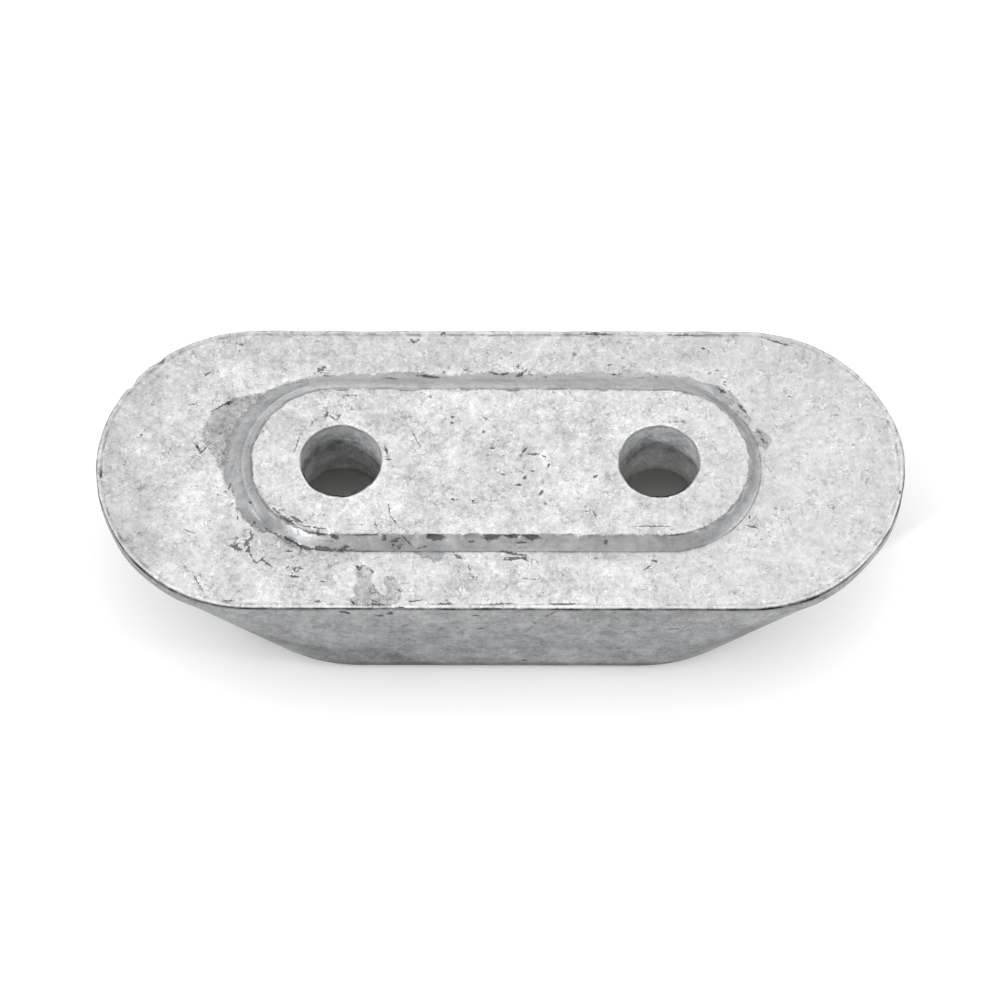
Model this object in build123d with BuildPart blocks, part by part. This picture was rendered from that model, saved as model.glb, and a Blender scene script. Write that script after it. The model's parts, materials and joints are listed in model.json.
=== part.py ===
from build123d import *
import os

# Bolt-on sacrificial anode: one solid zinc casting, lying on its wetted face with the
# mounting side up. +X runs along the length and +Z up through the mounting pad. The
# origin is on the wetted face (the foot), midway between the two bolts. Millimetres.

os.makedirs("parts", exist_ok=True)

# ---- Driving dimensions -------------------------------------------------------------

# Rim: the widest outline of the casting, straight-sided with half-round ends.
rim_length = 101.8
rim_width = 40.0
rim_height = 1.9            # upright band above the parting line of the mould
rim_edge_bevel = 0.3        # broken edge round the large face

# Body: under the rim it narrows to the foot, a little along the sides (mould draft)
# and by about 42 degrees from upright round the two ends.
body_height = 18.0          # from the foot to the large mounting-side face
foot_length = 72.5
foot_width = 38.4
foot_edge_radius = 1.5

# Mounting pad: the raised land that seats on the hull or bracket.
pad_length = 62.6           # flat top, end to end
pad_width = 20.8
pad_height = 1.8
pad_wall_run = 1.5          # how far the sloping wall spreads out towards its base

# Bolt holes through the pad, each with a recess in the foot for the bolt's head.
bolt_spacing = 40.0
bolt_hole_diameter = 10.3   # clearance for an M10 bolt
clamped_thickness = 11.5    # metal between the pad top and the floor of the recess
head_recess_diameter = 20.0
head_recess_bevel = 0.5     # broken edge at the recess mouth

# ---- Values worked out from them ----------------------------------------------------

parting_height = body_height - rim_height
pad_top_height = body_height + pad_height
head_recess_depth = pad_top_height - clamped_thickness
pad_base_length = pad_length + 2 * pad_wall_run
pad_base_width = pad_width + 2 * pad_wall_run

foot_plane = Plane.XY
parting_plane = Plane.XY.offset(parting_height)
face_plane = Plane.XY.offset(body_height)
pad_top_plane = Plane.XY.offset(pad_top_height)
drilling_plane = Plane(origin=(0, 0, 0), x_dir=(1, 0, 0), z_dir=(0, 0, -1))

# ---- The casting --------------------------------------------------------------------

with BuildPart() as anode_casting:
    # The tapering body: ruled walls between the small foot and the large rim outline.
    with BuildSketch(foot_plane):
        SlotOverall(foot_length, foot_width)
    with BuildSketch(parting_plane):
        SlotOverall(rim_length, rim_width)
    loft(ruled=True)
    foot_edges = anode_casting.edges().group_by(Axis.Z)[0]
    fillet(foot_edges, radius=foot_edge_radius)

    # The upright rim above the parting line.
    with BuildSketch(parting_plane):
        SlotOverall(rim_length, rim_width)
    extrude(amount=rim_height)
    rim_edges = anode_casting.edges().group_by(Axis.Z)[-1]
    chamfer(rim_edges, length=rim_edge_bevel)

    # The mounting pad, with walls that lean in towards its flat top.
    with BuildSketch(face_plane):
        SlotOverall(pad_base_length, pad_base_width)
    with BuildSketch(pad_top_plane):
        SlotOverall(pad_length, pad_width)
    loft(ruled=True)

    # Bolt holes, cut from the foot so that the head recesses open downwards.
    with Locations(drilling_plane):
        with GridLocations(bolt_spacing, 0, 2, 1):
            CounterBoreHole(
                radius=bolt_hole_diameter / 2,
                counter_bore_radius=head_recess_diameter / 2,
                counter_bore_depth=head_recess_depth,
                depth=pad_top_height,
            )

    # The mouths of the recesses are cast with a broken edge.
    foot_face = anode_casting.faces().sort_by(Axis.Z)[0]
    recess_mouths = [mouth.edge() for mouth in foot_face.inner_wires()]
    chamfer(recess_mouths, length=head_recess_bevel)

anode_casting.part.label = "anode_casting"
export_step(anode_casting.part, "parts/anode_casting.step")

print("volume mm3", round(anode_casting.part.volume, 1))
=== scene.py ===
# %% [markdown]
# # A bolt-on sacrificial anode
#
# The object is one zinc casting: a long block with round ends, a raised pad on its
# mounting side and two bolt holes through the pad. Zinc is poured into a two-part
# mould, so the block shows what moulds leave behind: drafted walls, an upright band at
# the parting line, a frosty grey skin with pits and flow marks, and smoother bluish
# metal where the hot mould steel dragged the skin off.
#
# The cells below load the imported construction, rebuild its surface as one fine mesh
# that can carry dents and edge damage, mix the metal from small shader groups, and set
# a pale studio round it.

# %% Load the construction
import json
from math import cos, pi, radians, sin

import bmesh
import bpy
import numpy as np
from mathutils import Matrix, Vector, noise


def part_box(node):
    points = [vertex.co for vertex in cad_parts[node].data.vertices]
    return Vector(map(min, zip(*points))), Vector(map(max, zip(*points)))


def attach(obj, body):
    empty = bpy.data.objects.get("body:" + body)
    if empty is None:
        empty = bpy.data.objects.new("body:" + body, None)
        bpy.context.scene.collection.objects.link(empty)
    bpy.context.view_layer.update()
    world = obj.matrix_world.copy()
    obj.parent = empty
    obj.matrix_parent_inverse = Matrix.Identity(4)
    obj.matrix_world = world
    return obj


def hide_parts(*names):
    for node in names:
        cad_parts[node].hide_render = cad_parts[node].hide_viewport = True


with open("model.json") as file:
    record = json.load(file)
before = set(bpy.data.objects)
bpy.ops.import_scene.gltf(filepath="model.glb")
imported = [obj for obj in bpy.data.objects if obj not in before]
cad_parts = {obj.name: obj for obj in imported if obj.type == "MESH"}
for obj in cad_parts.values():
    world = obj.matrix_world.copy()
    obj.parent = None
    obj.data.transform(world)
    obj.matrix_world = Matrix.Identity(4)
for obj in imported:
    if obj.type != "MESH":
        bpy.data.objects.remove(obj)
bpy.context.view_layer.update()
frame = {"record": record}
casting_low, casting_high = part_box("anode_casting")
mounts = {mount["name"]: mount for mount in frame["record"]["mounts"]}
print("casting", [round(side * 1000, 2) for side in casting_high - casting_low], "mm")

# %% [markdown]
# ## Sizes
#
# The overall box and the bolt sizes are read from the loaded construction, so the fine
# mesh can't drift away from it. The sizes that the box doesn't tell, such as the pad's
# outline, are the construction's own values again, written in metres.

# %% Sizes of the casting
MM = 0.001

rim_half_length = casting_high.x
rim_radius = casting_high.y
pad_top = casting_high.z
bolt_radius = mounts["bolt_hole_right"]["dims"]["r_mm"] * MM
bolt_reach = mounts["bolt_hole_right"]["pos_m"][0]
clamped_thickness = mounts["bolt_hole_right"]["dims"]["length_mm"] * MM
recess_radius = mounts["head_recess_right"]["dims"]["r_mm"] * MM

face_height = 18.0 * MM          # the large mounting-side face above the foot
rim_band = 1.9 * MM              # upright band round the large face
rim_round = 0.3 * MM
foot_half_length = 36.25 * MM
foot_radius = 19.2 * MM
foot_round = 1.5 * MM
pad_half_length = 31.3 * MM
pad_radius = 10.4 * MM
pad_wall_run = 1.5 * MM
recess_bevel = 0.5 * MM

rim_reach = rim_half_length - rim_radius      # from the middle to an end's centre
foot_reach = foot_half_length - foot_radius
pad_reach = pad_half_length - pad_radius
pad_base_radius = pad_radius + pad_wall_run
parting_height = face_height - rim_band
recess_floor = pad_top - clamped_thickness
print("end centres at", [round(v / MM, 2) for v in (rim_reach, foot_reach, pad_reach)], "mm")

# %% [markdown]
# ## The casting's skin as a stack of loops
#
# Every outline of this block is the same slot shape at another size: two half circles
# joined by straight sides. So the whole skin can be swept as closed loops that all have
# the same number of points, from the bolt holes out over the pad, down the rim and the
# sloping walls, and in again under the foot. Loops lie close together where an edge is
# tight and wider apart on open faces. A voxel remesh would be quicker to write, but it
# would round the crisp rim and leave stair steps along it.

# %% Points round a slot outline
ARC_STEPS = 108        # quads round each half-round end, and round half a bolt hole
SIDE_STEPS = 146       # quads along each straight side

arc_turn = np.linspace(-pi / 2, pi / 2, ARC_STEPS + 1)
side_run = np.linspace(1, -1, SIDE_STEPS + 1)[1:-1]


def slot_points(reach, radius, height):
    """A slot outline from the front of the right end, anticlockwise seen from above."""
    right_end = np.c_[reach + radius * np.cos(arc_turn), radius * np.sin(arc_turn)]
    back_side = np.c_[reach * side_run, np.full(side_run.size, radius)]
    outline = np.concatenate([right_end, back_side, -right_end, -back_side])
    return np.c_[outline, np.full(len(outline), height)]


def round_points(centre, radius, height, start):
    """A circle about (centre, 0), anticlockwise, with as many points as a hole's rim."""
    angle = start + np.arange(2 * ARC_STEPS) * pi / ARC_STEPS
    return np.c_[
        centre + radius * np.cos(angle), radius * np.sin(angle), np.full(angle.size, height)
    ]


print("points per outline:", len(slot_points(rim_reach, rim_radius, 0)))

# %% Collecting points and quads
skin_points = []
skin_quads = []


def add_points(coordinates):
    """Stores the points and returns their numbers."""
    first = len(skin_points)
    skin_points.extend(map(tuple, coordinates))
    return np.arange(first, len(skin_points))


def bridge(one, other, closed=True):
    """Joins two rows of points of equal length with quads."""
    last = len(one) if closed else len(one) - 1
    for i in range(last):
        j = (i + 1) % len(one)
        skin_quads.append((one[i], one[j], other[j], other[i]))


def stack(loop, profile, make_points):
    """Adds one loop for each profile entry, bridged to the one before. Returns the last."""
    for entry in profile:
        following = add_points(make_points(*entry))
        bridge(loop, following)
        loop = following
    return loop


print("lists ready for points and quads")


# %% Straight and rounded stretches of a profile
def ramp(start, end, steps, crowd=1.0):
    """Profile entries from start (left out) to end; crowd above 1 packs them at the end."""
    start, end = np.array(start), np.array(end)
    share = 1 - (1 - np.linspace(0, 1, steps + 1)[1:]) ** crowd
    return [tuple(start + (end - start) * s) for s in share]


def rounding(start, corner, end, steps):
    """Profile entries along a smooth curve that cuts inside a corner, start left out."""
    start, corner, end = np.array(start), np.array(corner), np.array(end)
    curve = []
    for s in np.linspace(0, 1, steps + 1)[1:]:
        curve.append(tuple((1 - s) ** 2 * start + 2 * s * (1 - s) * corner + s**2 * end))
    return curve


print("a rounding's entries:", rounding((0, 0), (1, 0), (1, 1), 2))

# %% [markdown]
# ## Between the two holes
#
# Inside the smallest slot outline, which touches both bolt holes, a plain grid fills the
# middle. Its first and last columns are the inner halves of the two hole rims, so each
# hole ends up with one closed rim that its bore can continue from. The pad's top and the
# foot are filled the same way.

# %% Filling the middle and returning the rims
def fill_between_holes(loop, radius, height):
    """Fills a slot loop of that end radius, centred on the bolts. Returns both rims."""
    back = loop[ARC_STEPS : ARC_STEPS + SIDE_STEPS + 1]
    left_outer = loop[ARC_STEPS + SIDE_STEPS : 2 * ARC_STEPS + SIDE_STEPS + 1]
    front = np.append(loop[2 * ARC_STEPS + SIDE_STEPS :], loop[0])
    inner_turn = np.linspace(0, pi, ARC_STEPS + 1)[1:-1]
    inward, across = radius * np.sin(inner_turn), radius * np.cos(inner_turn)
    level = np.full(inner_turn.size, height)
    right_inner = add_points(np.c_[bolt_reach - inward, across, level])
    left_inner = add_points(np.c_[inward - bolt_reach, across, level])
    rows = [back]
    for i in range(inner_turn.size):
        half_width = bolt_reach - inward[i]
        between = np.c_[
            half_width * side_run,
            np.full(side_run.size, across[i]),
            np.full(side_run.size, height),
        ]
        rows.append(np.r_[right_inner[i], add_points(between), left_inner[i]])
    rows.append(front[::-1])
    for upper_row, lower_row in zip(rows, rows[1:]):
        bridge(upper_row, lower_row, closed=False)
    right_rim = np.r_[loop[: ARC_STEPS + 1], right_inner]
    left_rim = np.r_[left_outer, left_inner[::-1]]
    return right_rim, left_rim


print("the middle gets", ARC_STEPS, "rows of quads")

# %% [markdown]
# ## The profile of the casting
#
# Each entry below is a reach, a radius and a height: how far the end centres are from
# the middle, how round the ends are, and how high the loop lies. Read in order they walk
# over the casting from the pad's top to the foot.

# %% The loops, from the pad to the foot
mouth_burr = 0.06 * MM           # the skin closes a little over the bolt hole's mouth
pad_edge_round = 0.22 * MM
pad_root_round = 0.25 * MM
pad_slope = pad_wall_run / (pad_top - face_height)
foot_lean = (rim_radius - foot_radius) / parting_height
foot_end_lean = (rim_reach - foot_reach) / parting_height

hole_outline = (bolt_reach, bolt_radius - mouth_burr, pad_top)
pad_edge = (pad_reach, pad_radius, pad_top)
pad_base = (pad_reach, pad_base_radius, face_height)
rim_edge = (rim_reach, rim_radius, face_height)
parting_line = (rim_reach, rim_radius, parting_height)
foot_edge = (foot_reach, foot_radius, 0.0)
recess_outline = (bolt_reach, recess_radius + recess_bevel, 0.0)


def beside(entry, reach=0.0, radius=0.0, height=0.0):
    """A profile entry moved by the given amounts."""
    return (entry[0] + reach, entry[1] + radius, entry[2] + height)


pad_edge_above = beside(pad_edge, radius=-pad_edge_round)
pad_edge_below = beside(pad_edge, radius=pad_edge_round * pad_slope, height=-pad_edge_round)
hole_ring = beside(hole_outline, radius=0.45 * MM)
pad_root_above = beside(pad_base, radius=-pad_root_round * pad_slope, height=pad_root_round)
pad_root_beyond = beside(pad_base, radius=pad_root_round)
rim_edge_above = beside(rim_edge, radius=-rim_round)
rim_edge_below = beside(rim_edge, height=-rim_round)
foot_edge_above = beside(
    foot_edge, foot_round * foot_end_lean, foot_round * foot_lean, foot_round
)
foot_edge_beneath = beside(foot_edge, radius=-foot_round)

outside_profile = (
    ramp(hole_outline, hole_ring, 5)
    + ramp(hole_ring, pad_edge_above, 14, crowd=1.3)
    + rounding(pad_edge_above, pad_edge, pad_edge_below, 3)
    + ramp(pad_edge_below, pad_root_above, 6)
    + rounding(pad_root_above, pad_base, pad_root_beyond, 3)
    + ramp(pad_root_beyond, rim_edge_above, 30, crowd=1.45)
    + rounding(rim_edge_above, rim_edge, rim_edge_below, 4)
    + ramp(rim_edge_below, parting_line, 4)
    + ramp(parting_line, foot_edge_above, 18)
    + rounding(foot_edge_above, foot_edge, foot_edge_beneath, 5)
    + ramp(foot_edge_beneath, recess_outline, 5)
)
first_loop = add_points(slot_points(*hole_outline))
last_loop = stack(first_loop, outside_profile, slot_points)
pad_rims = fill_between_holes(first_loop, hole_outline[1], pad_top)
foot_rims = fill_between_holes(last_loop, recess_outline[1], 0.0)
print("loops outside:", len(outside_profile), "points:", len(skin_points))

# %% [markdown]
# ## Bores and recesses
#
# Each bolt hole drops straight from the pad and opens, part-way down, into the wider
# recess that takes the bolt's head. The profile is turned about each bolt's axis.

# %% The bores, from the pad's rims down to the foot's rims
bore_profile = (
    rounding(
        (bolt_radius - mouth_burr, pad_top),
        (bolt_radius - mouth_burr, pad_top - mouth_burr),
        (bolt_radius, pad_top - 4 * mouth_burr),
        3,
    )
    + ramp((bolt_radius, pad_top - 4 * mouth_burr), (bolt_radius, recess_floor), 18)
    + ramp((bolt_radius, recess_floor), (recess_radius, recess_floor), 5)
    + ramp((recess_radius, recess_floor), (recess_radius, recess_bevel), 7)
)
for side, pad_rim, foot_rim in zip((1, -1), pad_rims, foot_rims):

    def bore_points(radius, height):
        return round_points(side * bolt_reach, radius, height, -side * pi / 2)

    bridge(stack(pad_rim, bore_profile, bore_points), foot_rim)
print("points:", len(skin_points), "quads:", len(skin_quads))

# %% [markdown]
# ## Where each point of the skin is
#
# The dents, the bare patches and the dark marks are all placed in millimetres on the
# casting. To place them, each point needs its plain position and its distance from
# the outlines that matter: the pad's, the rim's and the bolt holes'. All of this uses the
# undamaged shape, so marks on neighbouring faces keep their places when the surface is
# dented.

# %% Plain positions and distances in millimetres
spot = np.array(skin_points) / MM
along, across, level = spot.T
face_level = face_height / MM
pad_level = pad_top / MM


def slot_distance(reach):
    """Distance in mm from a slot's centre line, seen from above."""
    return np.hypot(np.maximum(np.abs(along) - reach / MM, 0), across)


from_pad_edge = slot_distance(pad_reach) - pad_radius / MM      # 1.5 at the pad's foot
from_rim = rim_radius / MM - slot_distance(rim_reach)           # positive on the face
from_bolt_axis = np.hypot(np.abs(along) - bolt_reach / MM, across)
from_mouth = from_bolt_axis - (bolt_radius - mouth_burr) / MM
bore_reach = np.where(
    level > recess_floor / MM, bolt_radius / MM + 0.15, recess_radius / MM + 0.1
)
cored = (from_bolt_axis < bore_reach) & (level < pad_level - 0.1) & (level > 0.3)
facing_up = (level > face_level - 0.05) & ~cored
print("points facing up:", facing_up.sum(), "inside the holes:", cored.sum())


# %% Soft steps, bands and thin lines
def fade(value, start, end):
    """0 before start and 1 after end, with a smooth step between them."""
    share = np.clip((value - start) / (end - start), 0, 1)
    return share * share * (3 - 2 * share)


def band(value, start, full, still_full, end):
    """1 from full to still_full, and 0 before start and after end."""
    return fade(value, start, full) * fade(-value, -end, -still_full)


def thin_line(value, middle, width):
    """A soft line: 1 at its middle, and nearly 0 two widths away."""
    return np.exp(-(((value - middle) / width) ** 2))


print("a line's middle and one width off:", thin_line(0, 0, 1), round(thin_line(1, 0, 1), 2))

# %% [markdown]
# ## Dents, chips and swellings
#
# A casting this small is never flat: the face sinks a few hundredths of a millimetre
# where the metal froze last, the pad's edge is chipped where skin tore off in the
# mould, and a fine groove runs just inside the rim where the two mould halves met. On the
# left the corner between pad and face is filled with metal that flowed over a worn
# mould edge, so no crisp line is left there. All of it is moved mesh, because a painted
# edge would look flat from the side. The foot stays flat, since the casting stands on it.

# %% Outward directions of the plain skin
casting_mesh = bpy.data.meshes.new("anode_casting_skin")
casting_mesh.from_pydata(skin_points, [], skin_quads)
tidy_mesh = bmesh.new()
tidy_mesh.from_mesh(casting_mesh)
bmesh.ops.recalc_face_normals(tidy_mesh, faces=tidy_mesh.faces)
tidy_mesh.to_mesh(casting_mesh)
print("open edges:", sum(not edge.is_manifold for edge in tidy_mesh.edges))
print("volume:", round(tidy_mesh.calc_volume() / MM**3 / 1000, 2), "cm3")
tidy_mesh.free()
outward = np.empty(len(spot) * 3)
casting_mesh.vertices.foreach_get("normal", outward)
outward = outward.reshape(-1, 3)


# %% A lumpy field and soft spots
def lumps(size, seed):
    """Smooth noise from -1 to 1, with lumps about size mm across."""
    shift = Vector((7.3 * seed, -3.1 * seed, 1.7 * seed))
    return np.array([noise.fractal(Vector(place) / size + shift, 1.0, 2.0, 3) for place in spot])


def from_middle(x, y, turn, height=None):
    """How far each point is from a place, along a turned line and beside it, in mm."""
    angle = radians(turn)
    beside_x = along - x
    beside_y = across - y if height is None else level - height
    run = beside_x * cos(angle) + beside_y * sin(angle)
    return run, beside_y * cos(angle) - beside_x * sin(angle)


def soft_spot(x, y, length, width, turn=0.0, height=None):
    """A spot that is 1 in its middle and fades out over length and width, in mm."""
    run, side = from_middle(x, y, turn, height)
    return np.exp(-((run / length) ** 2) - (side / width) ** 2)


wide_lumps = lumps(9.0, seed=1)
small_lumps = lumps(1.6, seed=2)
edge_lumps = lumps(2.6, seed=3)
print("lumps:", [round(float(np.abs(v).max()), 2) for v in (wide_lumps, small_lumps)])

# %% How far each point moves outward, in mm
raise_by = 0.05 * wide_lumps + 0.02 * small_lumps

# The pad's edge is worn away in places.
worn_edge = thin_line(from_pad_edge, 0, 0.35) * (level > pad_level - 0.3)
raise_by -= worn_edge * 0.2 * fade(edge_lumps, 0.05, 0.35) * facing_up

# The groove shows at the left and along the back; the rim's burr rises and dips.
groove_side = fade(-along - 0.6 * across, 18, 40) + fade(across, 12, 18)
rim_groove = thin_line(from_rim, 0.75, 0.2) * facing_up * np.clip(groove_side, 0, 1)
raise_by -= 0.07 * rim_groove * (0.6 + 0.6 * edge_lumps)
rim_burr = thin_line(from_rim, 0, 0.25) * (np.abs(level - face_level) < 0.4)
raise_by += 0.07 * rim_burr * edge_lumps

# The rim's band swells and sinks, and has two nicks at the back left.
on_rim = fade(level, 12, 16.5) * fade(-from_rim, -0.5, -0.1)
rim_swellings = (
    (50.5, 4.0, 4, 0.22), (47.0, -13.0, 4, -0.25), (39.0, -19.5, 3, 0.18),
    (-49.6, -7.6, 4, -0.2),
)
for x, y, size, height in rim_swellings:
    raise_by += on_rim * height * soft_spot(x, y, size, size)
raise_by += on_rim * 0.14 * soft_spot(-40.0, -19.2, 4, 3)
rim_nicks = soft_spot(-46.8, 12.1, 0.7, 0.5) + soft_spot(-43.2, 15.2, 0.8, 0.4, 40)
raise_by -= 0.35 * rim_nicks * (from_rim < 1.2) * (level > 16)

# The holes' mouths are uneven, and a faint ring is raised round each.
mouth_edge = thin_line(from_mouth, 0, 0.3) * (level > pad_level - 0.6)
raise_by -= 0.12 * mouth_edge * (0.2 + edge_lumps + small_lumps)
core_ring = thin_line(from_bolt_axis, 6.3, 0.3) * facing_up
raise_by += 0.05 * core_ring * fade(edge_lumps, -0.2, 0.3)
print("moves from", round(raise_by.min(), 2), "to", round(raise_by.max(), 2), "mm")

# %% [markdown]
# ## Dark marks
#
# Where skin tore or gas reached the surface, the casting has dark marks: dots, scratches
# with hairy ends and small torn blots. Noise could scatter them, but a casting's marks
# gather where the metal flowed worst, so they are placed one by one. Every row gives the
# middle of a mark, its half length and half width in millimetres, its turn in degrees
# and how deep it is. The surface sinks there, and the metal finish later makes the same
# places dark.

# %% Marks on the pad
pad_marks = (
    (-21.9, 6.7, 0.6, 0.22, 80, 1.0), (-21.1, 6.2, 0.6, 0.2, -35, 1.0),
    (-20.3, 6.4, 0.4, 0.2, 60, 0.9), (-19.1, 9.4, 0.3, 0.2, 0, 0.8),
    (-18.3, 9.4, 0.3, 0.2, 0, 0.8), (-18.7, 7.4, 0.25, 0.25, 0, 0.9),
    (-17.7, 7.5, 0.25, 0.2, 0, 0.8), (-14.3, 1.4, 0.9, 0.22, -72, 0.9),
    (-14.0, 0.2, 0.35, 0.25, 0, 1.0), (-13.9, -6.8, 0.7, 0.22, -80, 0.8),
    (-13.3, -8.4, 0.6, 0.22, -60, 0.8), (-17.4, -9.1, 0.3, 0.25, 0, 0.9),
    (-15.5, -9.1, 0.3, 0.22, -20, 0.8), (-10.6, 3.2, 1.4, 0.18, -65, 0.6),
    (-9.7, 0.9, 0.25, 0.25, 0, 0.6), (-8.8, 9.3, 0.25, 0.22, 0, 0.9),
    (-6.0, 6.4, 0.28, 0.25, 0, 1.2), (-6.1, 5.5, 0.25, 0.22, 0, 1.1),
    (-2.1, 4.2, 0.25, 0.25, 0, 1.0), (-1.8, 6.1, 0.4, 0.18, -40, 0.6),
    (3.1, 1.6, 0.55, 0.24, 50, 1.1), (4.3, 1.0, 0.7, 0.2, 0, 1.0), (5.5, 0.7, 0.3, 0.22, -30, 0.9),
    (6.1, -0.6, 0.4, 0.25, 70, 0.9), (4.1, -1.4, 0.3, 0.25, 0, 0.9),
    (3.1, -2.4, 0.35, 0.28, 50, 0.9), (2.4, -3.4, 0.35, 0.25, 0, 0.9),
    (0.3, -1.9, 0.3, 0.22, 0, 0.8), (-1.0, 1.8, 0.3, 0.22, 0, 0.8),
    (5.2, -4.5, 0.5, 0.25, 60, 1.0), (-3.2, -6.0, 0.9, 0.4, -60, 0.75),
    (-5.6, -5.5, 0.5, 0.3, 0, 0.6), (12.0, -2.2, 0.35, 0.25, 40, 0.9),
    (11.8, -7.3, 0.6, 0.22, -70, 0.8), (10.9, -7.1, 0.3, 0.25, 0, 0.7),
    (18.8, -9.3, 2.2, 0.18, 0, 0.5), (22.0, 5.7, 1.4, 0.18, 0, 0.5),
    (25.8, -1.9, 0.3, 0.3, 0, 0.5), (-0.9, -5.6, 1.6, 0.9, 30, 0.45),
    (-26.8, 6.2, 0.3, 0.2, 0, 0.5), (-27.9, -7.3, 0.8, 0.24, -45, 1.0),
    (-26.8, -8.3, 0.9, 0.34, -30, 1.1), (-25.4, -8.4, 0.9, 0.3, -30, 1.0),
    (-26.0, -8.9, 0.6, 0.25, -25, 0.9), (-24.3, -9.3, 0.7, 0.2, -12, 0.8),
    (-22.5, -9.6, 1.0, 0.2, -7, 0.8), (-22.8, -10.2, 0.3, 0.22, 29, 0.9),
    (-26.2, -10.5, 1.4, 0.2, -30, 1.0), (-24.4, -11.4, 1.2, 0.26, -14, 1.1),
    (-22.2, -11.7, 1.4, 0.3, -5, 1.1), (-19.6, -11.8, 1.4, 0.2, 0, 0.9),
    (-28.4, -9.4, 1.0, 0.12, -29, 0.7), (-25.5, 2.5, 1.9, 0.16, 72, 0.45),
    (-24.0, 5.2, 1.2, 0.16, 40, 0.45),
)
print("marks on the pad:", len(pad_marks))

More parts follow.
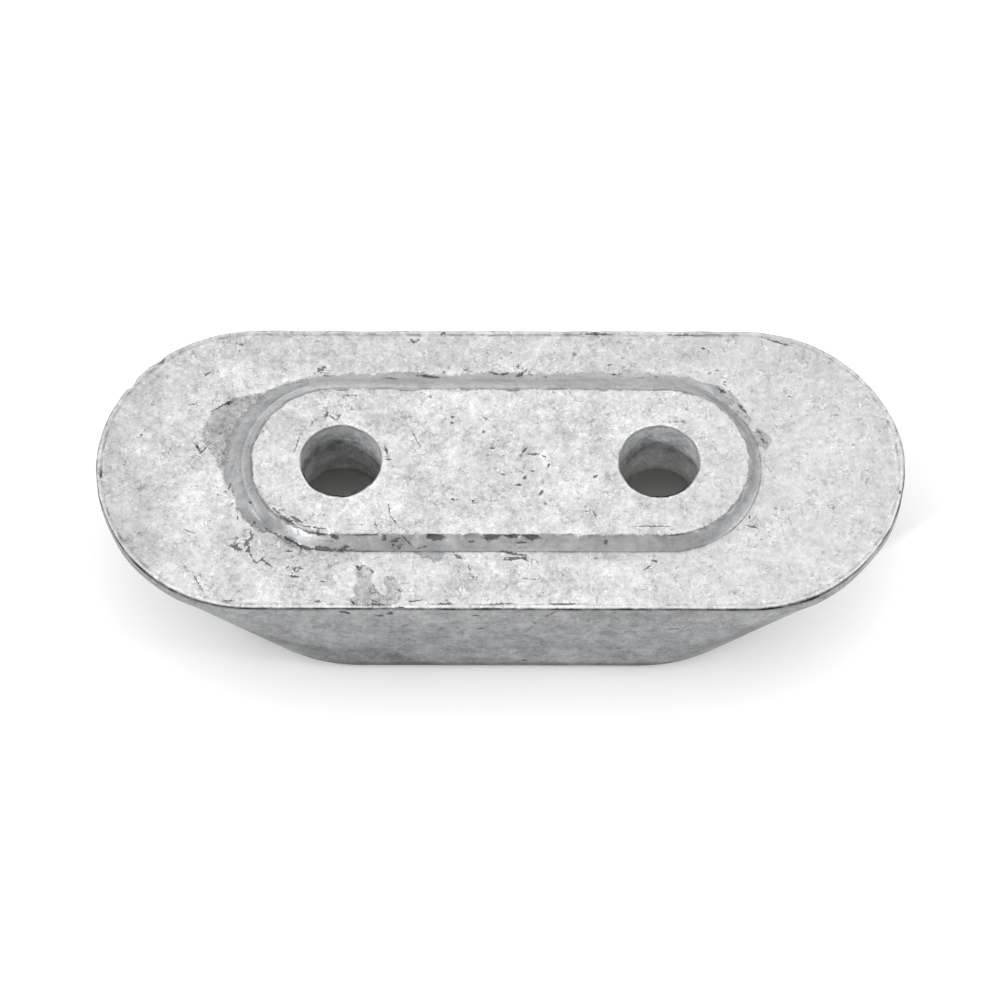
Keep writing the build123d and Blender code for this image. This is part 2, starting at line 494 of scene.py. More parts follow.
# %% Marks on the large face
face_marks = (
    (-33.2, 18.0, 0.9, 0.4, -35, 0.9), (-33.0, 16.7, 1.1, 0.6, 60, 0.55),
    (-22.7, 14.3, 0.75, 0.28, 38, 1.5), (-23.7, 13.4, 0.35, 0.3, 0, 0.9),
    (-22.0, 13.2, 0.6, 0.25, 0, 0.8), (-34.5, 9.3, 1.1, 0.2, 28, 1.1),
    (-36.0, 8.4, 0.9, 0.18, 28, 0.7), (-39.0, 9.1, 0.6, 0.2, 5, 0.7),
    (-39.9, 10.4, 0.25, 0.2, 0, 0.7), (-37.2, 13.5, 0.6, 0.22, 40, 0.8),
    (-38.2, 12.0, 1.4, 0.9, 20, 0.5), (-45.3, 4.7, 0.25, 0.25, 0, 1.0),
    (-44.2, 6.3, 0.25, 0.22, 0, 0.8), (-46.9, 12.1, 0.5, 0.3, 50, 1.3),
    (-43.1, 15.4, 0.7, 0.3, 35, 0.9), (-38.1, 2.7, 0.7, 0.3, -60, 0.9),
    (-37.4, 2.5, 0.9, 0.3, 50, 0.9), (-36.9, 3.5, 0.4, 0.25, 60, 0.8),
    (-35.3, -3.9, 0.4, 0.2, 60, 0.8), (-34.0, -3.0, 0.5, 0.2, 70, 0.7),
    (-33.9, -11.2, 0.55, 0.22, -23, 1.0), (-32.9, -11.5, 1.1, 0.3, -27, 1.2),
    (-32.9, -10.1, 0.35, 0.2, -51, 0.9), (-33.4, -10.6, 0.3, 0.2, -39, 0.7),
    (-32.8, -11.0, 0.3, 0.18, 53, 0.8), (-31.7, -8.9, 0.5, 0.18, 14, 0.8),
    (-31.1, -9.6, 0.6, 0.24, -69, 1.0), (-31.4, -10.9, 0.8, 0.22, -84, 1.0),
    (-31.9, -10.9, 0.6, 0.22, 89, 0.9), (-31.4, -11.9, 0.3, 0.32, -61, 1.2),
    (-31.1, -12.6, 0.25, 0.24, -72, 0.9), (-30.6, -13.4, 0.4, 0.26, -41, 1.0),
    (-29.7, -13.1, 0.3, 0.3, -62, 1.2), (-29.6, -12.0, 0.3, 0.16, 62, 0.8),
    (-29.0, -13.7, 0.55, 0.26, -43, 1.0), (-26.4, -11.9, 0.5, 0.3, -7, 0.8),
    (-26.5, -14.2, 0.3, 0.16, 49, 0.8), (-25.7, -14.5, 0.55, 0.24, -52, 0.9),
    (-25.7, -15.5, 0.75, 0.2, -9, 0.9), (-25.0, -14.3, 0.5, 0.18, -19, 0.8),
    (-31.3, -5.6, 0.3, 0.24, -42, 1.0), (-30.8, -7.9, 0.3, 0.24, -65, 1.0),
    (-29.3, -8.7, 0.2, 0.22, -47, 1.0), (-33.7, -5.4, 0.4, 0.14, 46, 0.8),
    (-32.9, -7.3, 0.3, 0.24, -82, 0.9), (-31.3, -7.9, 0.7, 0.1, -54, 0.6),
    (-38.8, -9.2, 0.8, 0.18, -20, 0.6), (-39.1, -14.5, 0.5, 0.16, -60, 0.7),
    (-37.6, -16.5, 1.3, 0.16, -62, 0.7), (-22.0, -16.2, 0.4, 0.2, 0, 0.7),
    (-21.6, -14.3, 0.5, 0.16, 60, 0.8), (-17.7, -14.4, 0.35, 0.22, -50, 1.0),
    (-16.0, -14.7, 0.35, 0.22, -60, 0.9), (-13.9, -15.7, 0.4, 0.18, -50, 0.8),
    (-12.5, -17.4, 0.3, 0.24, -70, 1.0), (-12.6, -18.5, 0.4, 0.2, 80, 0.9),
    (-18.3, -19.1, 0.5, 0.22, -40, 0.9), (-15.2, -19.4, 0.9, 0.16, 0, 0.9),
    (-15.7, -18.9, 0.6, 0.14, -25, 0.7), (-33.7, -18.9, 0.7, 0.2, 0, 0.9),
    (-22.7, -19.0, 0.5, 0.25, 0, 0.8), (-17.4, -14.0, 0.8, 0.2, 0, 0.5),
    (-10.7, 18.4, 0.7, 0.22, 40, 0.9), (-11.3, 18.5, 0.5, 0.2, -50, 0.8),
    (-9.7, 16.6, 0.25, 0.2, 0, 0.7), (-9.0, 13.1, 1.8, 0.4, -8, 1.1),
    (-13.9, 12.7, 1.1, 0.3, -10, 0.8), (-4.5, 14.2, 0.5, 0.2, 30, 0.9),
    (-0.6, 13.7, 0.8, 0.22, -15, 0.9), (0.5, 13.6, 0.6, 0.3, 20, 1.1),
    (2.4, 13.4, 0.6, 0.35, 30, 1.1), (3.1, 14.0, 0.7, 0.2, 40, 0.9),
    (2.3, 14.7, 0.35, 0.16, 80, 0.7), (3.9, 13.5, 0.3, 0.2, 0, 0.9),
    (4.6, 12.6, 0.25, 0.2, 0, 0.8), (5.8, 13.1, 0.25, 0.25, 0, 1.0),
    (13.8, 15.0, 0.25, 0.2, 0, 1.1), (14.5, 13.5, 0.6, 0.2, 0, 0.9),
    (25.9, 17.4, 0.28, 0.22, 0, 1.1), (15.0, 18.3, 1.2, 0.5, -20, 0.6),
    (17.9, 12.9, 0.9, 0.2, 0, 0.6), (19.8, 13.1, 0.3, 0.2, 0, 0.7),
    (26.6, 13.8, 0.35, 0.25, 40, 0.8), (27.6, 14.2, 0.3, 0.25, 0, 0.9),
    (28.5, 12.5, 0.3, 0.22, 0, 0.8), (28.2, 11.2, 0.6, 0.35, -35, 1.0),
    (30.6, 8.7, 0.9, 0.35, -50, 0.8), (33.1, 4.1, 0.9, 0.45, -60, 0.75),
    (32.6, 5.4, 0.5, 0.3, -50, 0.7), (31.6, -8.3, 0.9, 0.35, -15, 0.75),
    (31.3, -6.9, 0.45, 0.2, 85, 0.7), (32.8, -10.2, 0.3, 0.2, -30, 0.7),
    (36.8, 10.4, 0.4, 0.3, 0, 0.5), (46.1, -1.9, 0.4, 0.2, 70, 0.6),
    (50.3, -3.3, 0.25, 0.25, 0, 1.0), (35.3, 18.4, 1.9, 0.3, -18, 0.75),
    (12.5, 19.5, 2.2, 0.25, 0, 0.7), (23.0, 19.4, 1.6, 0.22, 0, 0.7),
    (19.3, -13.2, 0.35, 0.28, 0, 1.6), (18.5, -14.1, 0.7, 0.2, 40, 0.7),
    (20.9, -14.1, 1.2, 0.7, 20, 0.5), (23.5, -12.7, 0.6, 0.4, 0, 0.6),
    (28.5, -13.2, 0.35, 0.3, 0, 0.6), (17.9, -17.3, 0.25, 0.2, 0, 0.6),
    (-3.8, -14.3, 0.5, 0.18, -75, 0.9), (-3.5, -15.4, 0.7, 0.6, -60, 0.7),
    (-4.6, -16.8, 1.0, 0.9, 0, 0.45), (3.3, -15.7, 1.3, 0.15, -8, 0.6),
    (5.4, -17.7, 0.6, 0.15, 50, 0.5), (1.7, -12.2, 1.6, 0.25, -10, 1.0),
    (1.5, -13.0, 1.2, 0.2, 5, 1.3), (3.1, -12.9, 0.7, 0.2, -35, 1.2),
    (-5.2, -12.6, 0.7, 0.35, -30, 0.9), (-6.7, -19.3, 1.0, 0.18, 0, 1.2),
    (-10.5, -18.9, 0.8, 0.25, 10, 0.8), (0.2, -19.3, 1.6, 0.15, 5, 0.8),
    (7.8, -19.3, 1.9, 0.15, 0, 1.2), (-12.3, -19.9, 0.5, 0.25, 0, 1.6),
    (-50.3, -1.0, 0.3, 0.9, 0, 0.9),
)
print("marks on the large face:", len(face_marks))

# %% Marks on the front walls, by place along the casting and height above the foot
wall_marks = (
    (-19.2, 16.8, 1.0, 0.4, -25, 1.2), (-15.2, 15.9, 1.0, 0.4, 20, 1.2),
    (-13.7, 16.7, 0.8, 0.4, 40, 1.2), (-16.5, 14.8, 0.5, 0.5, 60, 0.8),
    (-3.0, 16.1, 0.6, 0.3, 10, 0.9), (-2.4, 12.3, 0.5, 0.3, 20, 0.9),
    (4.1, 13.0, 2.0, 0.22, 62, 0.7), (6.2, 16.5, 1.8, 0.2, 45, 0.8),
    (13.4, 10.1, 0.3, 0.4, 0, 0.9), (15.6, 11.3, 0.3, 0.4, 0, 0.9),
    (21.6, 12.2, 1.0, 0.3, 10, 0.6), (18.1, 6.6, 0.3, 0.3, 0, 0.8), (14.9, 6.3, 0.4, 0.25, 0, 0.7),
    (-22.0, 11.0, 0.3, 0.6, 0, 0.5), (3.0, 2.5, 0.7, 0.35, 0, 0.8),
    (-24.0, 19.6, 0.4, 0.15, 0, 0.9), (-20.7, 19.5, 0.7, 0.25, -20, 1.3),
    (-14.4, 19.3, 0.3, 0.3, 0, 1.2), (-12.9, 18.9, 1.3, 1.0, 0, 0.72),
    (-8.2, 19.6, 1.6, 0.55, -8, 1.25), (-11.4, 18.9, 1.2, 0.12, -38, 0.8),
    (-9.5, 18.45, 1.0, 0.12, 15, 0.8), (-3.6, 19.0, 0.5, 0.15, 0, 0.8),
    (-0.9, 19.6, 1.4, 0.5, 10, 1.25), (1.6, 19.7, 1.4, 0.4, 0, 1.15),
    (3.8, 19.6, 1.3, 0.5, -8, 1.25), (2.6, 18.9, 0.8, 0.15, 0, 0.9),
    (13.3, 19.0, 0.3, 0.5, 0, 0.9), (-16.5, 19.7, 2.5, 0.2, 0, 0.75),
    (-22.6, 19.7, 1.2, 0.25, 0, 0.9), (9.0, 19.8, 3.0, 0.15, 0, 0.7),
    (18.0, 19.8, 3.0, 0.15, 0, 0.7), (22.0, 19.7, 1.2, 0.12, 0, 1.0),
    (-19.2, 18.5, 0.4, 0.3, 0, 0.9),
)
print("marks on the front walls:", len(wall_marks))

# %% [markdown]
# ## Strokes and blots
#
# Narrow marks become strokes: each point keeps how far it is beside the nearest stroke
# and how much room that stroke has there, and the finish later draws the line from the
# two. Wider marks stay soft blots. The flaky corner also gets one faint patch over its
# strokes, and the back wall and the foot get random marks from noise, since nothing
# there is worth placing one by one.

# %% The marks gathered into one depth for each point
widest_stroke = 0.38             # mm to each side; wider marks are blots
facing_front = (across < 0) & (np.abs(outward[:, 1]) > 0.5) & ~cored
mark_depth = np.zeros(len(spot))
nearest = np.full(len(spot), 9.0)
stroke_side = np.ones(len(spot))
stroke_room = -np.ones(len(spot))
mark_groups = ((pad_marks + face_marks, facing_up, False), (wall_marks, facing_front, True))
for marks, face, on_wall in mark_groups:
    for x, y, length, width, turn, depth in marks:
        run, side = from_middle(x, y, turn, height=y if on_wall else None)
        off = np.hypot(run / length, side / width)      # 1 at the mark's edge
        mark_depth = np.maximum(mark_depth, face * depth * np.exp(-(off**2)))
        if width < widest_stroke:
            # Half the stroke's width, shrinking to its ends and negative beyond them.
            take = face & (off < nearest)
            nearest[take] = off[take]
            stroke_side[take] = side[take]
            room = (0.5 * width + 0.005) * min(depth + 0.1, 1.2)
            room = room * (1 - (run / length / 1.1) ** 2)
            stroke_room[take] = np.clip(room, -1.5, 1)[take]

flaky_corner = facing_up * soft_spot(-27.5, -12.2, 4.5, 1.6, -20)
flaky_corner *= from_pad_edge > pad_wall_run / MM
mark_depth = np.maximum(mark_depth, 0.38 * flaky_corner)
back_or_foot = (across > 19) | (level < 0.01)
mark_depth = np.maximum(mark_depth, back_or_foot * 1.1 * fade(lumps(2.2, seed=4), 0.55, 0.8))

# The marks sink, and the foot stays flat.
raise_by -= 0.05 * mark_depth
raise_by *= fade(level, 0.2, 2.5)
print("deepest mark:", round(mark_depth.max(), 2))

# %% The filled corner round the pad
# Full along the back, less round the right end, and on round the left end to the front.
corner_fill = fade(across, -6, 3) * (1 - 0.65 * fade(along, 22, 30))
corner_fill = np.maximum(corner_fill, fade(-along, 24, 32) * fade(across, -10, -5))
fill_run = pad_wall_run / MM * (1 + 1.3 * corner_fill)
filled_level = face_level + (pad_level - face_level) * (1 - fade(from_pad_edge, 0, fill_run))
lift = facing_up * (from_pad_edge > 0.1) * np.maximum(filled_level - level, 0)
print("corner filled by up to", round(float((lift * corner_fill).max()), 2), "mm")

# %% The front lip of each hole, dragged in a little as the mould's pin came out
lip_lean = 0.12 * thin_line(from_mouth, 0, 0.14) * (level > pad_level - 0.3)
lip_lean *= fade(-across, 0, 3) * (from_bolt_axis > 0)
towards_bolt = np.c_[np.sign(along) * bolt_reach / MM - along, -across]
towards_bolt /= np.maximum(from_bolt_axis, 1e-6)[:, None]
print("lip dragged in by up to", round(float(lip_lean.max()), 2), "mm")

# %% Move the skin
moved = (spot + raise_by[:, None] * outward) * MM
moved[:, :2] += lip_lean[:, None] * towards_bolt * MM
moved[:, 2] += lift * corner_fill * MM
casting_mesh.vertices.foreach_set("co", moved.ravel())
casting_mesh.update()
casting_mesh.shade_smooth()
casting_skin = bpy.data.objects.new("anode_casting_skin", casting_mesh)
bpy.context.scene.collection.objects.link(casting_skin)
print("skin:", [round(side / MM, 2) for side in np.ptp(moved, axis=0)], "mm")

# %% Stand in for the construction
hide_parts("anode_casting")
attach(casting_skin, "root")
print("the skin stands in for the plain casting")

# %% [markdown]
# ## Where the skin is missing
#
# Zinc comes out of the mould with a pale, frosty skin. Where the mould dragged along the
# metal, or where skin stayed in the mould, smoother bluish grey metal shows: on every
# drafted wall, in a large torn patch left of the pad, in a band behind it and in some
# small spots. Where the skin is only thin, it is duller but still there. A painted mask
# would blur close up, so each patch is an outline of corners, and each point stores its
# distance from it in millimetres, positive inside. The finish makes that edge ragged.

# %% Distance inside a patch that is drawn by its corners
def inside_patch(corners, second=across):
    """Distance in mm from a closed outline of (x, y) corners, positive inside it."""
    nearest_edge = np.full(len(spot), 1e9)
    inside = np.zeros(len(spot), dtype=bool)
    for (x0, y0), (x1, y1) in zip(corners, corners[1:] + corners[:1]):
        edge_x, edge_y = x1 - x0, y1 - y0
        share = ((along - x0) * edge_x + (second - y0) * edge_y) / (edge_x**2 + edge_y**2)
        share = np.clip(share, 0, 1)
        gap = np.hypot(along - x0 - share * edge_x, second - y0 - share * edge_y)
        nearest_edge = np.minimum(nearest_edge, gap)
        if y0 != y1:
            crossing = x0 + (second - y0) * edge_x / edge_y
            inside ^= ((second > y0) != (second > y1)) & (along < crossing)
    return np.where(inside, nearest_edge, -nearest_edge)


FAR_OUTSIDE = -3.0               # mm, for points on other faces than the patch
on_face = facing_up & (level < face_level + 0.4)
print("points on the large face:", on_face.sum())

# %% Patches of bare metal and of thin, dull skin
torn_patch = [
    (-24.5, 12.9), (-27.5, 11.9), (-29.5, 10.9), (-32.5, 10.0), (-33.8, 9.9), (-36.2, 8.3),
    (-37.0, 6.6), (-37.6, 4.6), (-36.9, 3.0), (-36.0, 1.8), (-35.2, 0.0), (-34.4, -2.2),
    (-33.1, -4.5), (-32.8, -6.0), (-31.7, -7.6), (-29.8, -9.2), (-27.0, -9.0), (-22.0, 0.0),
]
rear_band = [
    (-25.5, 12.4), (-22.0, 13.3), (-16.0, 13.5), (-13.0, 14.0), (-10.5, 13.8), (-7.0, 13.2),
    (-4.0, 13.6), (0.0, 13.9), (4.0, 13.6), (14.0, 13.8), (20.0, 13.6), (24.0, 13.0),
    (27.5, 11.8), (29.6, 9.6), (27.5, 8.6), (26.0, 10.0), (0.0, 10.6), (-25.0, 10.8),
]
boot_patch = [
    (-17.8, -14.5), (-17.4, -14.1), (-16.7, -14.1), (-15.9, -14.8), (-16.3, -15.3),
    (-16.4, -15.7), (-16.1, -16.4), (-15.6, -17.3), (-15.1, -18.0), (-14.3, -18.4),
    (-13.7, -17.8), (-14.0, -17.1), (-14.4, -16.4), (-14.3, -15.6), (-13.5, -15.8),
    (-13.0, -16.2), (-12.6, -16.9), (-12.3, -17.5), (-12.6, -18.0), (-12.3, -18.5),
    (-13.1, -19.1), (-14.3, -19.5), (-16.4, -19.5), (-17.9, -19.5), (-18.5, -18.9),
    (-17.7, -18.2), (-18.0, -17.8), (-18.0, -16.8), (-17.4, -16.2), (-17.4, -15.3),
]
wall_lobe = [
    (-34.0, -1.0), (-34.0, 9.5), (-29.0, 9.0), (-25.0, 7.0), (-20.5, 6.2), (-17.8, 7.0),
    (-15.0, 6.5), (-13.4, 5.4), (-12.0, 4.0), (-10.6, 2.4), (-8.5, 1.3), (-4.0, 0.7), (-4.0, -1.0),
]
corner_patch = [(-11.5, -11.5), (-9.6, -12.8), (-8.2, -13.3), (-7.2, -12.9), (-6.8, -11.5)]
right_patch = [(26.4, 12.3), (28.9, 11.0), (30.6, 9.0), (31.6, 6.6), (31.0, 6.4), (28.0, 9.8)]
side_patch = [(32.0, 5.6), (33.2, 5.2), (34.0, 4.0), (33.4, 2.9), (32.6, 3.4)]


def deepest_inside(patches, grow=0.0):
    """How deep each point of the large face lies in any of the patches, grown a little."""
    depths = [inside_patch(corners) + grow for corners in patches]
    return np.where(on_face, np.maximum.reduce(depths), FAR_OUTSIDE).clip(FAR_OUTSIDE)


bare_depth = deepest_inside((torn_patch, rear_band, corner_patch))
# Only metal near the pad is quite bare; further out a patch keeps a thin skin.
thin_skin = -0.35 + 1.5 * fade(-from_pad_edge, -4.0, -2.1)
bare_depth = np.where(on_face, np.minimum(bare_depth, thin_skin), bare_depth)
dull_depth = deepest_inside((torn_patch, boot_patch, right_patch, side_patch), grow=0.15)
on_lower_wall = facing_front & (level < 15)
lobe_depth = np.where(on_lower_wall, inside_patch(wall_lobe, second=level), FAR_OUTSIDE)
dull_depth = np.maximum(dull_depth, lobe_depth)
print("patches placed:", (bare_depth > 0).sum(), "points")

# %% Walls and holes are bare, with a crisp edge where the pad's foot is not filled
foot_crisp_front = fade(-across, 4, 8) * fade(along, -24, -20)
foot_crisp_right = fade(along, 24, 27) * fade(-across, -8, -6)
pad_foot_crisp = np.maximum(foot_crisp_front, foot_crisp_right)
pad_foot_gap = pad_wall_run / MM + 0.05 - from_pad_edge
pad_wall = np.minimum(from_pad_edge, pad_foot_gap * (1 + 5 * pad_foot_crisp))
pad_wall = np.where(facing_up, pad_wall, FAR_OUTSIDE)
body_wall = np.where(facing_up, -0.05 - from_rim, face_level - 0.12 - level)
body_wall = np.where(level < 0.3, FAR_OUTSIDE, body_wall)
hole_wall = np.where(cored, 2.0, FAR_OUTSIDE)
bare_depth = np.maximum.reduce([bare_depth, pad_wall * 1.6, body_wall, hole_wall])
print("bare share of the points:", round((bare_depth > 0).mean(), 2))

# %% [markdown]
# ## Broad stains
#
# Handling and storage leave faint broad stains: the left end is greyer and streaky, and the
# rear edge is duller. The lower corners of the front wall are darker too, and painted shade
# darkens the front walls along the foot. Noise alone would spread them evenly, so they are
# soft spots placed one by one. Each row below gives a spot's middle, length, width and turn,
# and how much it darkens; a negative amount makes the place lighter.

# %% Stains, as a share of darkening
stain_spots = (
    (-44.0, 1.0, 3.5, 5.0, 0, -0.06), (-41.5, -11.5, 2.0, 2.5, 0, 0.10),
    (-38.2, -13.0, 2.0, 1.5, 0, 0.10), (-44.7, -7.0, 1.5, 3.0, 0, 0.12),
    (-31.5, -11.3, 2.5, 1.5, -20, 0.08), (-25.0, -16.5, 2.5, 1.5, 0, -0.06),
    (-6.3, -16.0, 1.2, 2.0, 0, -0.06), (-12.0, -18.8, 3.0, 1.5, 0, 0.07),
    (-20.0, -13.0, 6.0, 1.2, 0, 0.05), (-1.6, -2.5, 4.5, 4.5, 0, 0.13),
    (10.0, 6.0, 3.0, 2.5, 0, -0.07), (-12.6, 6.9, 1.2, 1.2, 0, -0.10),
    (-13.2, 15.5, 2.0, 1.5, -20, 0.12), (-32.1, 17.4, 1.6, 1.4, 0, 0.14),
    (-21.0, 19.3, 14.0, 0.8, 0, 0.14), (24.0, 19.3, 8.0, 0.8, 0, 0.10),
    (1.0, 15.5, 4.0, 1.5, 0, -0.04), (16.4, 15.5, 2.5, 1.5, 0, -0.07),
    (48.5, 6.0, 1.2, 5.0, 15, 0.12), (40.0, 9.5, 5.0, 3.5, 0, 0.05),
    (34.3, -8.0, 3.0, 3.0, 0, -0.06), (30.0, 10.0, 3.0, 1.5, -45, -0.12),
    (4.7, -14.2, 4.0, 1.6, 0, -0.12), (12.5, -14.0, 4.0, 0.8, 0, -0.10),
    (4.0, -12.7, 6.0, 0.5, 0, 0.08), (13.0, -12.6, 6.0, 0.5, 0, 0.10),
    (9.4, -7.4, 2.0, 1.2, 0, 0.10), (14.7, -17.0, 2.0, 1.5, 0, 0.10),
    (-49.3, 1.0, 1.0, 5.0, 0, 0.12), (-37.0, 11.5, 3.0, 3.0, 0, 0.06),
    (-3.5, -15.6, 1.2, 1.2, 0, 0.14), (-33.0, -9.0, 2.0, 2.5, 0, 0.05),
    (-29.0, -12.0, 3.0, 1.2, -30, 0.08),
)
# First the left end, the rear edge, the right end and the torn patch as a whole.
stain = 0.16 * fade(-along, 37, 48) + 0.07 * fade(across, 13, 17) + 0.03 * fade(along, 27, 33)
stain += 0.08 * on_face * np.clip(inside_patch(torn_patch), 0, 1)
for x, y, length, width, turn, strength in stain_spots:
    stain += facing_up * strength * soft_spot(x, y, length, width, turn)
print("stains on the upper faces:", len(stain_spots))

# %% Stains on the walls, by place along the casting and height above the foot
wall_stains = (
    (-29, 8, 5, 5, 0, 0.18), (-20, 5, 6, 2.4, -8, 0.16), (-12, 3.6, 4, 1.2, -14, 0.1),
    (29, 9, 7, 1.6, 42, 0.2), (33, 7, 6, 3, 25, 0.3), (-33, 7, 6, 3, -25, 0.1),
)
low_wall = (level < 15.5) * fade(-across, -5, 3)
for x, height, length, width, turn, strength in wall_stains:
    stain += low_wall * strength * soft_spot(x, 0, length, width, turn, height)

# Painted shade along the foot at the front, with random tone on the low walls there; all
# walls below the face a little darker; and a lighter stretch at the right.
stain += low_wall * (0.12 * fade(-level, -3.0, -1) + 0.06 * edge_lumps)
stain += 0.1 * (level < face_level - 0.3) * ~cored
stain -= 0.07 * (across < 0) * soft_spot(25, 0, 13, 2, height=14.5)

# Two dark places on the pad's front wall.
on_pad_wall = facing_up * (level > face_level + 0.2) * (from_pad_edge > 0.1)
stain += 0.2 * on_pad_wall * soft_spot(-12.3, -11.2, 2.2, 1.5)
stain += 0.16 * on_pad_wall * soft_spot(-4.4, -11.2, 1.5, 1.5)
print("strongest stain:", round(stain.max(), 2))

# %% [markdown]
# ## Bright and dark edges
#
# Sharp edges show as thin lines: a painted highlight on the rim's burr, a light line round each
# mouth, and painted shade under the rim's edge and on each hole's lip, most at the front.
# Edge wear is often worked out from a mesh's curvature, but these lines are finer than
# the quads, so they are drawn from the distances to the edges instead.

# %% Lines on the rim and along the foot; positive is lighter
front_side = fade(-across, -2, 6)

# A painted highlight on the burr, and painted shade under the same edge, both most at the front.
burr_highlight = thin_line(from_rim, 0.22, 0.16) * facing_up * (0.35 + 0.65 * front_side)
edge_tone = 0.25 * burr_highlight * (1 + 0.9 * edge_lumps)
rim_shade = thin_line(level, face_level - 0.16, 0.16) * (from_rim < 0.2)
edge_tone -= rim_shade * (0.3 + 0.6 * front_side) * (1 + 0.5 * small_lumps)

# A broken dark line just inside the rim, a light one beside it, and painted shade in the groove.
rim_line = thin_line(from_rim - 0.1 * edge_lumps, 0.62, 0.13) * facing_up
edge_tone -= 0.4 * rim_line * fade(small_lumps, -0.05, 0.3)
inner_light = thin_line(from_rim, 0.95, 0.16) * facing_up
edge_tone += 0.12 * inner_light * fade(edge_lumps, -0.3, 0.1)
edge_tone -= 0.12 * rim_groove

# Painted shade: a dark contact line along the front of the foot.
edge_tone -= 0.38 * fade(-level, -2.1, -1.4) * fade(-across, -5, 3) * ~cored
print("rim lines:", round(edge_tone.min(), 2), "to", round(edge_tone.max(), 2))

# %% Lines round the holes
# A light line round each mouth, painted shade on the lip inside it that is strongest at the
# front, and a lighter right-hand hole.
mouth_line = thin_line(from_mouth, 0.3, 0.11) * facing_up
edge_tone += 0.14 * mouth_line * (1 + 0.8 * edge_lumps)
mouth_lip_shade = (level > pad_level - 0.3) * fade(0.04 * edge_lumps - from_mouth, -0.17, -0.07)
edge_tone -= mouth_lip_shade * (0.3 + 0.8 * fade(-across, 0, 2)) * (1 + 0.3 * small_lumps)
edge_tone += 0.12 * cored * (along > 0)
print("with the holes:", round(edge_tone.min(), 2), "to", round(edge_tone.max(), 2))

# %% Tones of the pad's wall and lines at its foot
# Painted light: the back of the wall, which faces the bright back of the room, is a little
# lighter.
pad_tone = 0.1 * (pad_wall > 0) * fade(across, 3, 7)

# Where the foot is crisp, painted shade draws a dark line in its crease, with a light one
# beside it.
foot_crease_shade = thin_line(from_pad_edge, 1.58, 0.12) * pad_foot_crisp
pad_tone -= 0.55 * foot_crease_shade * (1 + 0.6 * small_lumps)
foot_light = thin_line(from_pad_edge, 1.95, 0.14) * pad_foot_crisp
pad_tone += 0.12 * foot_light * (1 + edge_lumps)

# Lighter: the lower half of the wall at the right end and in the front's middle.
low_half = band(from_pad_edge, 0.6, 1.0, 1.45, 1.7)
pad_tone += low_half * (0.3 * fade(along, 24, 30) + 0.28 * soft_spot(4, -11.5, 5, 3))

# Lighter: a ring on the filled corner round the left end.
left_ring = band(from_pad_edge, 0.7, 1.1, 2.2, 3.4)
pad_tone += 0.3 * left_ring * fade(-along, 23, 27) * fade(across, -8.5, -6.5)

# Painted shade: the front left corner is darker, to dim the lamp's streak that falls there.
pad_tone -= 0.16 * (from_pad_edge > -0.1) * soft_spot(-26.6, -10.6, 3.0, 2.0, -34)
pad_tone -= 0.24 * (pad_wall > -0.3) * soft_spot(-26.5, -11.2, 3.5, 1.6, -25)
print("pad's wall:", round(pad_tone.min(), 2), "to", round(pad_tone.max(), 2))

# %% More tones round the pad, and its edge
# At the back, the top of the wall is darker and the face behind its foot lighter.
back_top = band(from_pad_edge, -0.3, 0, 0.6, 1.1)
pad_tone -= 0.17 * back_top * fade(along, 2, 9) * fade(across, 2, 6)
pad_tone += 0.12 * band(from_pad_edge, 1.6, 1.9, 2.4, 2.8) * fade(across, 8, 11)

# A glint at the foot of the right end, a darker left end, and a lighter rear band.
foot_glint = thin_line(from_pad_edge, 1.95, 0.16) * on_face
pad_tone += 0.25 * foot_glint * soft_spot(29.5, 8.0, 5.0, 3.0, -50)
pad_tone -= 0.15 * (pad_wall > 0) * fade(-along, 22, 30)
pad_tone += 0.1 * on_face * np.clip(inside_patch(rear_band), 0, 1)

# A broken dark line along the pad's edge, with more of it at the left.
edge_line = thin_line(from_pad_edge, 0.1, 0.13)
pad_tone -= 0.35 * edge_line * fade(small_lumps + 0.4 * (along < -22), -0.1, 0.3)

# The front of the wall is a little lighter, with two bright spots.
on_pad_front = facing_front & (level > face_level)
pad_tone += 0.07 * on_pad_front * fade(-across, 8, 10)
pad_tone += 0.3 * on_pad_front * (
    soft_spot(-10.2, 0, 1.3, 0.45, height=18.8) + soft_spot(-6.2, 0, 1.3, 0.45, -30, height=19.0)
)

edge_tone += facing_up * pad_tone
print("all edges:", round(edge_tone.min(), 2), "to", round(edge_tone.max(), 2))

# %% Store the fields on the skin
# edge_tone and the stains also carry painted highlights and painted shade.
skin_fields = {
    "bare_depth": bare_depth,
    "dull_depth": dull_depth,
    "mark_depth": mark_depth,
    "stroke_side": stroke_side,
    "stroke_room": stroke_room,
    "stain": stain,
    "edge_tone": edge_tone,
    "cored": cored,
}
for field_name, field in skin_fields.items():
    attribute = casting_mesh.attributes.new(field_name, "FLOAT", "POINT")
    attribute.data.foreach_set("value", field.astype(np.float32))
print("fields:", ", ".join(skin_fields))

# %% [markdown]
# # The metal
#
# The metal is mixed from a few small shader groups. Each group makes one effect, such as
# pits or clouds, from the position on the casting in millimetres, and the material
# decides how much each effect darkens, roughens or dents the surface. One big node tree
# would give the same picture, but groups can be tested alone and reused for other
# castings, which would only need other numbers.

# %% Helpers that wire shader nodes
def feed(socket, value):
    """Connects an output to a socket, or sets the socket's own value."""
    if isinstance(value, bpy.types.NodeSocket):
        socket.id_data.links.new(value, socket)
    else:
        socket.default_value = value


def calc(tree, operation, *values):
    """A Math node's result."""
    node = tree.nodes.new("ShaderNodeMath")
    node.operation = operation
    for socket, value in zip(node.inputs, values):
        feed(socket, value)
    return node.outputs[0]


def add_layers(tree, base, layers):
    """Adds each layer, times its weight, to a base."""
    for layer, weight in layers:
        base = calc(tree, "MULTIPLY_ADD", layer, weight, base)
    return base


